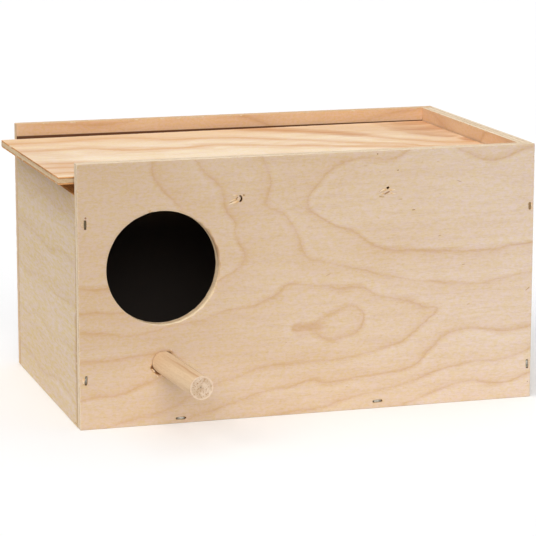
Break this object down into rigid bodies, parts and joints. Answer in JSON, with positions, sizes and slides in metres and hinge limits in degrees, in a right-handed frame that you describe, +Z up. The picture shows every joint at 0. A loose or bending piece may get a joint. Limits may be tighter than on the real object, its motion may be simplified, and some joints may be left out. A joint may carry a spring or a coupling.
{
  "type": "nest box",
  "caption": "Plywood bird nest box with a round entrance hole, a dowel perch below it and a loose lid that slides out over the low end on hidden runners.",
  "frame": {"origin": "middle of the base, on the underside of the floor board", "axes": "+X along the length towards the closed end, +Y from the front to the back, +Z up"},
  "size_m": [0.2623, 0.2203, 0.14],
  "materials": {
    "birch_plywood": "raw sanded veneer",
    "lid_plywood": "raw softwood veneer",
    "runner_strip": "planed softwood",
    "perch_dowel": "smooth turned hardwood",
    "staple_steel": "dull drawn wire"
  },
  "bodies": {
    "box": {"front_panel": "birch_plywood", "back_panel": "birch_plywood", "left_end_panel": "birch_plywood", "right_end_panel": "birch_plywood", "floor_panel": "birch_plywood", "front_lid_runner": "runner_strip", "back_lid_runner": "runner_strip", "perch": "perch_dowel", "front_left_staples": "staple_steel", "front_right_staples": "staple_steel", "front_floor_staples": "staple_steel", "front_runner_staples": "staple_steel", "back_left_staples": "staple_steel", "back_right_staples": "staple_steel", "back_floor_staples": "staple_steel", "back_runner_staples": "staple_steel"},
    "lid": {"sliding_lid": "lid_plywood"}
  },
  "joints": [
    {"name": "lid_slide", "type": "slide", "parent": "box", "child": "lid", "axis": [-1, 0, 0], "range_m": [0, 0.246]}
  ]
}
